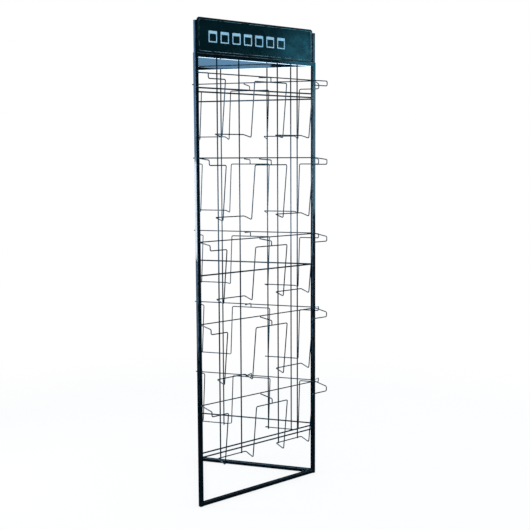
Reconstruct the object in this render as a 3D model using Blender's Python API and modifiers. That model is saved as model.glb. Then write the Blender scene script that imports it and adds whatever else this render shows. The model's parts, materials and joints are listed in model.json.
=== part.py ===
"""Floor-standing calendar display rack: a three-post tube frame with wire pocket panels and a plug-in header.

The front face lies between the left and right posts and looks along -Y. The side face runs from the right
post to the back post, and the third face is open. Each panel place is given as (along, out, up): metres along
its face from the first post's axis, outward from the line of the post axes, and up from the floor.
"""

import math

import bmesh
import bpy
from mathutils import Quaternion, Vector

# Plan and frame, in metres
FRONT_WIDTH = 0.600
SIDE_WIDTH = 0.538
POST_TOP = 1.800
TUBE = 0.016
TUBE_WALL = 0.0012
TUBE_EDGE = 0.0014
GAP = 0.0003

# Plastic foot glides
GLIDE_HEIGHT = 0.0012
GLIDE_DIAMETER = 0.0145
GLIDE_CHAMFER = 0.0004
GLIDE_PLUG_LENGTH = 0.012
GLIDE_CLEARANCE = 0.0002

# Wire panels
ROD = 0.006
UPRIGHT_WIRE = 0.0055
POCKET_WIRE = 0.0045
ROW_COUNT = 5
TOP_ROW = 1.7246
ROW_PITCH = 0.3266
MIDDLE_ROD = 0.9370
FRONT_RODS = {
    "top_upper": 1.6685,
    "top_lower": 1.6527,
    "middle": MIDDLE_ROD,
    "bottom_upper": 0.2185,
    "bottom_lower": 0.2013,
}
SIDE_RODS = {"top": 1.6469, "middle": MIDDLE_ROD, "bottom": 0.2257}

# Pockets, two on each row
POCKET_WIDTH = 0.141
UPRIGHT_SPREAD = 0.107
FRONT_POCKET_INSET = 0.148
SIDE_POCKET_INSET_RIGHT = 0.1557
SIDE_POCKET_INSET_BACK = 0.0610
ROW_OVERHANG = 0.002
BACK_OVERHANG = 0.024
RAIL_DEPTH = 0.0755
FOOT_DEPTH = 0.050
ARM_DROP = 0.008
RAIL_DROP = 0.028
BACK_DROP = 0.2335
FOOT_DROP = 0.2455
BRACKET_SLOPE = 0.004
WIRE_BEND = 0.006
UPRIGHT_TAIL = 0.006

# Plug-in header
STEM = 0.012
STEM_WALL = 0.0012
STEM_EDGE = 0.0012
STEM_INSERT = 0.080
STEM_TOP = 1.9225
PANEL_HEIGHT = 0.136
PANEL_THICKNESS = 0.007
PANEL_CORNER = 0.012
PANEL_RIM = 0.009
PANEL_RECESS = 0.002

# Facets
BEND_STEPS = 2
WIRE_RESOLUTION = 1
ROD_SIDES = 8
GLIDE_SIDES = 20
CORNER_STEPS = 5
EDGE_SEGMENTS = 2

UP = Vector((0.0, 0.0, 1.0))


class Face:
    """One side of the plan triangle, from one post axis to the next."""

    def __init__(self, name, first, last):
        start = POSTS[first]
        end = POSTS[last]
        self.name = name
        self.posts = (first, last)
        self.start = start
        self.width = (end - start).length
        self.along = (end - start).normalized()
        self.outward = self.along.cross(UP)
        self.turn = math.atan2(self.along.y, self.along.x)
        self.row_out = square_reach(TUBE, self.outward) + GAP + POCKET_WIRE / 2
        self.wire_out = self.row_out - POCKET_WIRE / 2 - GAP - UPRIGHT_WIRE / 2
        self.rod_out = self.wire_out - UPRIGHT_WIRE / 2 - GAP - ROD / 2

    def place(self, along, out, up):
        """The point at these distances along the face, out of it and up."""
        return self.start + self.along * along + self.outward * out + UP * up


def square_reach(size, direction):
    """How far a square section, set square to the front face, reaches in a direction."""
    return size / 2 * (abs(direction.x) + abs(direction.y))


def make_material(name, colour, roughness, metallic):
    material = bpy.data.materials.new(name)
    material.use_nodes = True
    shader = material.node_tree.nodes["Principled BSDF"]
    shader.inputs["Base Color"].default_value = (*colour, 1.0)
    shader.inputs["Roughness"].default_value = roughness
    shader.inputs["Metallic"].default_value = metallic
    return material


def add_object(name, data, material=None, collection=None, parent=None):
    made = bpy.data.objects.new(name, data)
    (collection or PARTS).objects.link(made)
    if material:
        data.materials.append(material)
    made.parent = parent or ROOT
    return made


def add_cutter(name, data):
    cutter = add_object(name, data, collection=CUTTERS)
    cutter.hide_render = True
    cutter.display_type = "WIRE"
    return cutter


def cut(made, cutter):
    boolean = made.modifiers.new("cut_" + cutter.name, "BOOLEAN")
    boolean.operation = "DIFFERENCE"
    boolean.solver = "EXACT"
    boolean.object = cutter


def mesh_from(name, shape):
    mesh = bpy.data.meshes.new(name)
    shape.to_mesh(mesh)
    shape.free()
    return mesh


def block_mesh(name, width, length, edge=0.0, open_ends=False):
    """A square bar along X from 0 to length, with its long edges rounded."""
    shape = bmesh.new()
    bmesh.ops.create_cube(shape, size=1.0)
    bmesh.ops.scale(shape, vec=(length, width, width), verts=shape.verts)
    bmesh.ops.translate(shape, vec=(length / 2, 0.0, 0.0), verts=shape.verts)
    if open_ends:
        ends = [face for face in shape.faces if abs(face.normal.x) > 0.5]
        bmesh.ops.delete(shape, geom=ends, context="FACES_ONLY")
    if edge:
        long_edges = [
            line for line in shape.edges if abs(line.verts[0].co.x - line.verts[1].co.x) > length / 2
        ]
        bmesh.ops.bevel(
            shape, geom=long_edges, offset=edge, segments=EDGE_SEGMENTS, profile=0.5, affect="EDGES"
        )
    return mesh_from(name, shape)


def cylinder_mesh(name, radius, length, sides):
    """A round bar along Z from 0 to length."""
    shape = bmesh.new()
    bmesh.ops.create_cone(
        shape, cap_ends=True, segments=sides, radius1=radius, radius2=radius, depth=length
    )
    bmesh.ops.translate(shape, vec=(0.0, 0.0, length / 2), verts=shape.verts)
    mesh = mesh_from(name, shape)
    mesh.shade_smooth()
    mesh.set_sharp_from_angle(angle=math.radians(50))
    return mesh


def turned_mesh(name, profile, sides):
    """A round solid about Z, from a profile of (radius, height) steps, lowest first."""
    shape = bmesh.new()
    rings = []
    for radius, height in profile:
        angles = [2 * math.pi * side / sides for side in range(sides)]
        rings.append([shape.verts.new((radius * math.cos(a), radius * math.sin(a), height)) for a in angles])
    for low, high in zip(rings, rings[1:]):
        for side in range(sides):
            after = (side + 1) % sides
            shape.faces.new((low[side], low[after], high[after], high[side]))
    shape.faces.new(reversed(rings[0]))
    shape.faces.new(rings[-1])
    return mesh_from(name, shape)


def add_wall(made, thickness):
    wall = made.modifiers.new("wall", "SOLIDIFY")
    wall.thickness = thickness
    wall.offset = -1.0
    wall.use_even_offset = True


def aim(made, point, direction):
    """Puts the object's origin at a point and its X axis along a direction."""
    made.location = point
    made.rotation_mode = "QUATERNION"
    made.rotation_quaternion = direction.to_track_quat("X", "Z" if abs(direction.z) < 0.5 else "Y")


def tube(name, width, wall, edge, point, direction, length, material, parent=None):
    """An open-ended square tube."""
    made = add_object(name, block_mesh(name, width, length, edge, open_ends=True), material, parent=parent)
    add_wall(made, wall)
    aim(made, point, direction)
    return made


def rounded_path(corners, radius, closed):
    """The corners with each bend drawn as an arc."""
    count = len(corners)
    points = []
    for index, corner in enumerate(corners):
        if not closed and index in (0, count - 1):
            points.append(corner)
            continue
        back = corners[index - 1] - corner
        ahead = corners[(index + 1) % count] - corner
        turn = math.pi - back.angle(ahead)
        reach = min(radius * math.tan(turn / 2), back.length / 2, ahead.length / 2)
        bend_radius = reach / math.tan(turn / 2)
        inward = (back.normalized() + ahead.normalized()).normalized()
        centre = corner + inward * (bend_radius / math.cos(turn / 2))
        first = corner + back.normalized() * reach - centre
        last = corner + ahead.normalized() * reach - centre
        axis = first.cross(last).normalized()
        for step in range(BEND_STEPS + 1):
            points.append(centre + Quaternion(axis, turn * step / BEND_STEPS) @ first)
    return points


def bent_wire(name, corners, diameter, material, closed=False):
    """A wire bent round the corners, with its two ends welded together if it is closed."""
    points = rounded_path(corners, WIRE_BEND, closed)
    curve = bpy.data.curves.new(name, "CURVE")
    curve.dimensions = "3D"
    curve.bevel_depth = diameter / 2
    curve.bevel_resolution = WIRE_RESOLUTION
    curve.use_fill_caps = True
    spline = curve.splines.new("POLY")
    spline.points.add(len(points) - 1)
    for target, point in zip(spline.points, points):
        target.co = (*point, 1.0)
    spline.use_cyclic_u = closed
    return add_object(name, curve, material)


def outline_mesh(name, width, height, corner, depth):
    """A plate with rounded corners, centred on the origin in X and Z, from Y = 0 to Y = -depth."""
    shape = bmesh.new()
    ring = []
    for side_x, side_z, first in ((1, 1, 0), (-1, 1, 90), (-1, -1, 180), (1, -1, 270)):
        for step in range(CORNER_STEPS + 1):
            angle = math.radians(first + 90 * step / CORNER_STEPS)
            x = side_x * (width / 2 - corner) + corner * math.cos(angle)
            z = side_z * (height / 2 - corner) + corner * math.sin(angle)
            ring.append(shape.verts.new((x, 0.0, z)))
    back = shape.faces.new(reversed(ring))
    grown = bmesh.ops.extrude_face_region(shape, geom=[back])
    moved = [item for item in grown["geom"] if isinstance(item, bmesh.types.BMVert)]
    bmesh.ops.translate(shape, vec=(0.0, -depth, 0.0), verts=moved)
    bmesh.ops.recalc_face_normals(shape, faces=shape.faces)
    return mesh_from(name, shape)


def build_posts():
    """Three square tubes, open at the top as sockets for the header's stems."""
    for name, point in POSTS.items():
        tube(
            "post_" + name,
            TUBE,
            TUBE_WALL,
            TUBE_EDGE,
            point + UP * GLIDE_HEIGHT,
            UP,
            POST_TOP - GLIDE_HEIGHT,
            PAINT,
        )
        envelope = add_cutter("post_clearance_" + name, block_mesh(name, TUBE + 2 * GAP, POST_TOP + 2 * TUBE))
        aim(envelope, point - UP * TUBE, UP)


def build_glides():
    """A plastic glide plugged into the foot of each post, with a flange under the tube's end."""
    plug = TUBE / 2 - TUBE_WALL - GLIDE_CLEARANCE
    flange = GLIDE_DIAMETER / 2
    profile = [
        (flange - GLIDE_CHAMFER, 0.0),
        (flange, GLIDE_CHAMFER),
        (flange, GLIDE_HEIGHT - GAP),
        (plug, GLIDE_HEIGHT - GAP),
        (plug, GLIDE_HEIGHT + GLIDE_PLUG_LENGTH),
    ]
    for name, point in POSTS.items():
        mesh = turned_mesh("foot_glide_" + name, profile, GLIDE_SIDES)
        glide = add_object("foot_glide_" + name, mesh, BLACK_PLASTIC)
        glide.location = point


def build_bars(level, height):
    """The three square tubes that join the posts at one level, each coped to the posts and earlier bars."""
    clearances = []
    for face in (FRONT, SIDE, OPEN):
        bar = tube(
            f"{level}_{face.name}",
            TUBE,
            TUBE_WALL,
            TUBE_EDGE,
            face.place(0.0, 0.0, height),
            face.along,
            face.width,
            PAINT,
        )
        for post in face.posts:
            cut(bar, bpy.data.objects["post_clearance_" + post])
        for clearance in clearances:
            cut(bar, clearance)
        clearance = add_cutter(
            f"{level}_clearance_{face.name}", block_mesh(face.name, TUBE + 2 * GAP, face.width)
        )
        aim(clearance, face.place(0.0, 0.0, height), face.along)
        clearances.append(clearance)


def build_rods(face, heights):
    """Round rods welded between two posts, their ends coped to the tubes."""
    for name, height in heights.items():
        rod = add_object(
            f"{face.name}_rod_{name}", cylinder_mesh(name, ROD / 2, face.width, ROD_SIDES), PAINT
        )
        rod.location = face.place(0.0, face.rod_out, height)
        rod.rotation_mode = "QUATERNION"
        rod.rotation_quaternion = face.along.to_track_quat("Z", "Y")
        for post in face.posts:
            cut(rod, bpy.data.objects["post_clearance_" + post])


def build_upright_wires(face, centres):
    """Two upright wires behind each column of pockets, from the lowest pocket to the top rail."""
    bottom = TOP_ROW - (ROW_COUNT - 1) * ROW_PITCH - BACK_DROP - UPRIGHT_TAIL
    top = POST_TOP - TUBE - GAP
    places = [centre + side * UPRIGHT_SPREAD / 2 for centre in centres for side in (-1, 1)]
    for number, along in enumerate(places, start=1):
        ends = [face.place(along, face.wire_out, bottom), face.place(along, face.wire_out, top)]
        bent_wire(f"{face.name}_upright_wire_{number}", ends, UPRIGHT_WIRE, PAINT)


def pocket_corners(face, centre, row):
    """The dip that one pocket makes in its row's wire, walked from the last post towards the first."""
    rail = face.row_out + RAIL_DEPTH
    foot = face.row_out + FOOT_DEPTH
    half = POCKET_WIDTH / 2
    return [
        face.place(centre + half, rail, row - RAIL_DROP),
        face.place(centre + half, foot, row - FOOT_DROP),
        face.place(centre + half, face.row_out, row - BACK_DROP),
        face.place(centre - half, face.row_out, row - BACK_DROP),
        face.place(centre - half, foot, row - FOOT_DROP),
        face.place(centre - half, rail, row - RAIL_DROP),
    ]


def build_rows(face, centres, overhang):
    """On each row, an endless wire bent into two pockets, and a bracket that carries its rail midway."""
    first = -ROW_OVERHANG
    last = face.width + overhang
    rail = face.row_out + RAIL_DEPTH
    middle = sum(centres) / len(centres)
    for number in range(1, ROW_COUNT + 1):
        row = TOP_ROW - (number - 1) * ROW_PITCH
        corners = [
            face.place(last, face.row_out, row),
            face.place(last, rail, row - ARM_DROP),
            face.place(last, rail, row - RAIL_DROP),
        ]
        for centre in reversed(centres):
            corners += pocket_corners(face, centre, row)
        corners += [
            face.place(first, rail, row - RAIL_DROP),
            face.place(first, rail, row - ARM_DROP),
            face.place(first, face.row_out, row),
        ]
        bent_wire(f"{face.name}_pocket_wire_{number}", corners, POCKET_WIRE, PAINT, closed=True)
        under = row - POCKET_WIRE - GAP
        bracket = [
            face.place(middle, face.row_out - POCKET_WIRE / 2, under),
            face.place(middle, rail, under - BRACKET_SLOPE),
            face.place(middle, rail, row - RAIL_DROP + POCKET_WIRE / 2 + GAP),
        ]
        bent_wire(f"{face.name}_middle_bracket_{number}", bracket, POCKET_WIRE, PAINT)


def build_header():
    """The crown that lifts off: three stems that plug into the posts, and two sign panels between them."""
    crown = bpy.data.objects.new("header_crown", None)
    PARTS.objects.link(crown)
    crown.parent = ROOT
    crown.location = UP * POST_TOP
    bottom = POST_TOP - STEM_INSERT
    bore = STEM - 2 * STEM_WALL
    for name, point in POSTS.items():
        stem = add_object(
            "header_stem_" + name,
            block_mesh(name, STEM, STEM_TOP - bottom, STEM_EDGE),
            PAINT,
            parent=crown,
        )
        hollow = add_cutter("header_bore_" + name, block_mesh(name, bore, STEM_TOP - bottom))
        aim(hollow, point + UP * (bottom - STEM_WALL), UP)
        cut(stem, hollow)
        aim(stem, point + UP * (bottom - POST_TOP), UP)
    for face in (FRONT, SIDE):
        width = face.width - 2 * (square_reach(STEM, face.along) + GAP)
        centre = face.place(face.width / 2, -PANEL_THICKNESS / 2, POST_TOP + GAP + PANEL_HEIGHT / 2)
        name = "header_panel_" + face.name
        panel = add_object(
            name,
            outline_mesh(name, width, PANEL_HEIGHT, PANEL_CORNER, PANEL_THICKNESS),
            SIGN_PLASTIC,
            parent=crown,
        )
        panel.location = centre - UP * POST_TOP
        panel.rotation_euler.z = face.turn
        recess = add_cutter(
            "header_recess_" + face.name,
            outline_mesh(
                name + "_recess",
                width - 2 * PANEL_RIM,
                PANEL_HEIGHT - 2 * PANEL_RIM,
                PANEL_CORNER - PANEL_RIM,
                PANEL_THICKNESS,
            ),
        )
        recess.location = centre + face.outward * (PANEL_THICKNESS - PANEL_RECESS)
        recess.rotation_euler.z = face.turn
        cut(panel, recess)


def centre_on_floor():
    """Moves the whole rack so that the middle of its floor plan is at the origin."""
    bpy.context.view_layer.update()
    graph = bpy.context.evaluated_depsgraph_get()
    corners = []
    for made in PARTS.objects:
        if made.type != "EMPTY":
            solid = made.evaluated_get(graph)
            corners += [solid.matrix_world @ Vector(corner) for corner in solid.bound_box]
    for axis in (0, 1):
        values = [corner[axis] for corner in corners]
        ROOT.location[axis] = -(min(values) + max(values)) / 2


for old in list(bpy.data.objects):
    bpy.data.objects.remove(old, do_unlink=True)

PARTS = bpy.data.collections.new("calendar_display_rack")
CUTTERS = bpy.data.collections.new("cutters")
bpy.context.scene.collection.children.link(PARTS)
bpy.context.scene.collection.children.link(CUTTERS)

ROOT = bpy.data.objects.new("rack_root", None)
PARTS.objects.link(ROOT)

PAINT = make_material("bottle_green_enamel", (0.004, 0.018, 0.022), 0.25, 0.0)
SIGN_PLASTIC = make_material("sign_green_plastic", (0.002, 0.022, 0.026), 0.3, 0.0)
BLACK_PLASTIC = make_material("black_glide_plastic", (0.012, 0.012, 0.014), 0.5, 0.0)

POSTS = {
    "left": Vector((-FRONT_WIDTH / 2, 0.0, 0.0)),
    "right": Vector((FRONT_WIDTH / 2, 0.0, 0.0)),
    "back": Vector((0.0, math.sqrt(SIDE_WIDTH**2 - FRONT_WIDTH**2 / 4), 0.0)),
}
FRONT = Face("front", "left", "right")
SIDE = Face("side", "right", "back")
OPEN = Face("open", "back", "left")

FRONT_POCKETS = (FRONT_POCKET_INSET, FRONT_WIDTH - FRONT_POCKET_INSET)
SIDE_POCKETS = (SIDE_POCKET_INSET_RIGHT, SIDE_WIDTH - SIDE_POCKET_INSET_BACK)

build_posts()
build_glides()
build_bars("base_bar", GLIDE_HEIGHT + TUBE / 2)
build_bars("top_rail", POST_TOP - TUBE / 2)
build_rods(FRONT, FRONT_RODS)
build_rods(SIDE, SIDE_RODS)
build_upright_wires(FRONT, FRONT_POCKETS)
build_upright_wires(SIDE, SIDE_POCKETS)
build_rows(FRONT, FRONT_POCKETS, ROW_OVERHANG)
build_rows(SIDE, SIDE_POCKETS, BACK_OVERHANG)
build_header()
centre_on_floor()
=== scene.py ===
"""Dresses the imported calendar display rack.

The tubes, wires and sign panels are modelled again with fine edges and bends in the places that the CAD nodes
give, spot welds are added where wires cross, and every surface gets its finish. The script then sets up the
floor, the light and the camera.
"""

from __future__ import annotations

import json
import logging
import math
from dataclasses import dataclass, field
from enum import Enum
from typing import Callable, Iterable, Sequence

import bmesh
import bpy
from mathutils import Matrix, Vector

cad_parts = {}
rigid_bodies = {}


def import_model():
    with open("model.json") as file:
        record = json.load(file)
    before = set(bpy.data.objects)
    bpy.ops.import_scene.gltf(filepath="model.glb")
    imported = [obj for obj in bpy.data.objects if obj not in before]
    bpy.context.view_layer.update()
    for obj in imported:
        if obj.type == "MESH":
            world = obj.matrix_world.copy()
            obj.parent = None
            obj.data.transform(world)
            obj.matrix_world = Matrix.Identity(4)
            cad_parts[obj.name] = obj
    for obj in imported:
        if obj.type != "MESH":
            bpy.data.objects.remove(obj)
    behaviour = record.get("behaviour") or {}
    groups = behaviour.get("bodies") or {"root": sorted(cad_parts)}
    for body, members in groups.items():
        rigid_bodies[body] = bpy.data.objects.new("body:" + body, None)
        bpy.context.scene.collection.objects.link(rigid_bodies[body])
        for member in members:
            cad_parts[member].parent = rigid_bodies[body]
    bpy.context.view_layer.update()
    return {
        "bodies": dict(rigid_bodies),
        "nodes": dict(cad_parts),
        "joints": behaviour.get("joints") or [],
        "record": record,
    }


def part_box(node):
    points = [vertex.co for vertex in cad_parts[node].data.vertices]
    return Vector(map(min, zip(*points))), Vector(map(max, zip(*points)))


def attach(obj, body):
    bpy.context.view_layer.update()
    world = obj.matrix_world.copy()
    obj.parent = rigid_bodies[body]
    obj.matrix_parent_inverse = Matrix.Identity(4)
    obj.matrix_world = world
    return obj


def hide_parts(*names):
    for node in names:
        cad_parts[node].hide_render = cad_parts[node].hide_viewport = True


LOG = logging.getLogger("calendar_rack")
UP = Vector((0.0, 0.0, 1.0))
# The photograph's camera, seen from the foot of the left post's axis.
FROM_LEFT_POST = Vector((-1.9129, -2.8411, 1.4022))
# The face attribute that marks rubbed edges, which also carry a painted highlight.
RUBBED_HIGHLIT = "rubbed_highlit_edge"
# How closely a normal follows a direction that it faces, as a cosine.
FACING = 0.9
# Points nearer to each other than this are one point, in metres.
TOUCHING = 1e-6
# Edges that bend by more than this stay sharp, in degrees.
FLAT_CREASE = 40.0
WIRE_CREASE = 50.0
WELD_CREASE = 60.0
# How strongly a wide face holds the shading of its corners.
FACE_WEIGHT = 100
# The Mix node's sockets for two colours and their mixture.
MIX_FIRST = 6
MIX_SECOND = 7
MIX_RESULT = 2
Colour = tuple[float, float, float]
Shape = bpy.types.Object
Socket = bpy.types.NodeSocket


class Body(Enum):
    """The CAD bodies that pieces ride on."""

    FRAME = "rack_frame"
    HEADER = "header_crown"


class Slot(Enum):
    """The record's material slots."""

    FRAME = "frame_enamel"
    WIRE = "wire_enamel"
    SIGN = "sign_panel"


class Level(Enum):
    """The two levels at which bars join the posts."""

    BASE = "base_bar"
    TOP = "top_rail"


@dataclass(frozen=True)
class Face:
    """One side of the plan triangle, from one post axis to the next.

    Attributes:
        name: The side's name in the CAD node names.
        start: The first post's axis on the floor.
        end: The last post's axis on the floor.
    """

    name: str
    start: Vector
    end: Vector

    @property
    def width(self) -> float:
        """The distance between the two post axes."""
        return (self.end - self.start).length

    @property
    def along(self) -> Vector:
        """The unit direction from the first post to the last."""
        return (self.end - self.start).normalized()

    @property
    def outward(self) -> Vector:
        """The unit direction out of the rack."""
        return self.along.cross(UP)

    @property
    def turn(self) -> float:
        """The angle from the X axis to the face, in radians."""
        return math.atan2(self.along.y, self.along.x)

    def place(self, along: float, out: float, up: float) -> Vector:
        """Finds a point by its metres along the face, out of the line of post axes, and above the floor."""
        return self.start + self.along * along + self.outward * out + UP * up


def square_reach(size: float, direction: Vector) -> float:
    """Measures how far a square section, set square to the front face, reaches along a level direction."""
    return size / 2 * (abs(direction.x) + abs(direction.y))


def post_axis(node: str) -> Vector:
    """Finds the point on the floor under the middle of a CAD node."""
    low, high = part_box(node)
    return Vector(((low.x + high.x) / 2, (low.y + high.y) / 2, 0.0))


def clear_selection() -> None:
    """Leaves edit mode and deselects every object."""
    if bpy.context.mode != "OBJECT":
        bpy.ops.object.mode_set(mode="OBJECT")
    bpy.ops.object.select_all(action="DESELECT")


def work_on(*pieces: Shape) -> None:
    """Selects only the given pieces and makes the first one active."""
    clear_selection()
    for piece in pieces:
        piece.select_set(True)
    bpy.context.view_layer.objects.active = pieces[0]


def discard(*helpers: Shape) -> None:
    """Deletes shapes that only helped to model others."""
    for helper in helpers:
        bpy.data.objects.remove(helper, do_unlink=True)


def rename(piece: Shape, name: str) -> Shape:
    """Names a piece and its mesh."""
    piece.name = name
    piece.data.name = name
    return piece


def add_block(
    size: Sequence[float],
    middle: Sequence[float] = (0.0, 0.0, 0.0),
    heading: Sequence[float] = (0.0, 0.0, 0.0),
) -> Shape:
    """Adds a plain block as a start.

    Args:
        size: Its lengths along its own axes.
        middle: The place of its middle.
        heading: Its turn about X, Y and Z, in radians.

    Returns:
        The block, at its own place and heading.
    """
    clear_selection()
    bpy.ops.mesh.primitive_cube_add(size=1.0, location=middle, rotation=heading)
    block = bpy.context.object
    block.scale = size
    bpy.ops.object.transform_apply(location=False, rotation=False, scale=True)
    return block


def cut_away(piece: Shape, cutter: Shape) -> None:
    """Cuts one shape out of another.

    Args:
        piece: The shape that stays.
        cutter: The shape that is taken out of it.
    """
    work_on(piece)
    cut = piece.modifiers.new("cut", "BOOLEAN")
    cut.operation = "DIFFERENCE"
    cut.solver = "EXACT"
    cut.object = cutter
    bpy.ops.object.modifier_apply(modifier=cut.name)


def select_parts(piece: Shape, mode: str, test: Callable[[object], bool]) -> None:
    """Selects faces or edges of the piece that is in edit mode.

    Args:
        piece: The object in edit mode.
        mode: "FACE" or "EDGE".
        test: Says of a bmesh face or edge whether it is selected.
    """
    bpy.ops.mesh.select_mode(type=mode)
    bpy.ops.mesh.select_all(action="DESELECT")
    shape = bmesh.from_edit_mesh(piece.data)
    chosen = [part for part in (shape.faces if mode == "FACE" else shape.edges) if test(part)]
    for part in chosen:
        part.select_set(True)
    bmesh.update_edit_mesh(piece.data)


def mark_rubbed_highlit(piece: Shape) -> None:
    """Marks the selected faces of the piece in edit mode as an edge that gets rubbed and a painted highlight.
    """
    shape = bmesh.from_edit_mesh(piece.data)
    layer = shape.faces.layers.float.get(RUBBED_HIGHLIT) or shape.faces.layers.float.new(RUBBED_HIGHLIT)
    for part in shape.faces:
        if part.select:
            part[layer] = 1.0
    bmesh.update_edit_mesh(piece.data)


def settle(piece: Shape, name: str, sharp: float) -> Shape:
    """Applies a piece's place to its mesh, turns its faces outwards and shades it.

    Args:
        piece: The finished shape.
        name: The piece's name.
        sharp: Edges that bend by more than this angle, in degrees, stay sharp.

    Returns:
        The same object.
    """
    work_on(piece)
    bpy.ops.object.transform_apply(location=True, rotation=True, scale=True)
    bpy.ops.object.mode_set(mode="EDIT")
    bpy.ops.mesh.select_all(action="SELECT")
    bpy.ops.mesh.normals_make_consistent(inside=False)
    bpy.ops.object.mode_set(mode="OBJECT")
    bpy.ops.object.shade_smooth_by_angle(angle=math.radians(sharp))
    return rename(piece, name)


def settle_flat(piece: Shape, name: str) -> None:
    """Settles a piece with wide flat faces, and leaves the shading's turn to its rounded edges.

    Args:
        piece: The finished shape.
        name: The piece's name.
    """
    settle(piece, name, FLAT_CREASE)
    modifier = piece.modifiers.new("flat_faces", "WEIGHTED_NORMAL")
    modifier.mode = "FACE_AREA"
    modifier.weight = FACE_WEIGHT
    modifier.keep_sharp = True
    bpy.ops.object.modifier_apply(modifier=modifier.name)


def copy_of(piece: Shape, name: str, shift: Vector) -> Shape:
    """Copies a finished piece with a mesh of its own.

    Args:
        piece: The piece to copy.
        name: The copy's name.
        shift: How far the copy is moved.

    Returns:
        The copy, with its place in its mesh.
    """
    work_on(piece)
    bpy.ops.object.duplicate(linked=False)
    made = bpy.context.object
    made.location = shift
    bpy.ops.object.transform_apply(location=True, rotation=True, scale=True)
    return rename(made, name)


def scatter(first: Shape, name: str, places: Sequence[Vector]) -> Shape:
    """Copies a shape from the origin to a row of places and joins the copies.

    Args:
        first: The shape to copy, which is then deleted.
        name: The joined piece's name.
        places: The places of the copies.

    Returns:
        One piece that holds all the copies.
    """
    copies = [copy_of(first, f"{name}_{number}", place) for number, place in enumerate(places)]
    discard(first)
    work_on(*copies)
    bpy.ops.object.join()
    return rename(copies[0], name)


def dress(
    piece: Shape,
    material: bpy.types.Material,
    body: Body,
    stands_for: Iterable[str] = (),
) -> None:
    """Paints a new piece, hangs it on its body and hides the CAD nodes that it stands for.

    Args:
        piece: The finished piece.
        material: Its finish.
        body: The body that it rides on.
        stands_for: The CAD nodes that it replaces.
    """
    if not piece.data.materials:
        piece.data.materials.append(material)
    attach(piece, body.value)
    nodes = list(stands_for)
    if nodes:
        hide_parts(*nodes)
    LOG.info("%s: %d faces on %s", piece.name, len(piece.data.polygons), body.value)


@dataclass(frozen=True)
class Grain:
    """A noise pattern and the part of it that shows.

    Attributes:
        size: The grain, in metres.
        detail: How many finer layers it has.
        low: The pattern's value at which nothing shows.
        high: The pattern's value at which all of it shows.
        stretch: How much longer the grain is along X, Y and Z.
        fineness: How strong each finer layer is.
    """

    size: float
    detail: float
    low: float = 0.0
    high: float = 1.0
    stretch: tuple[float, float, float] = (1.0, 1.0, 1.0)
    fineness: float = 0.55


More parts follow.
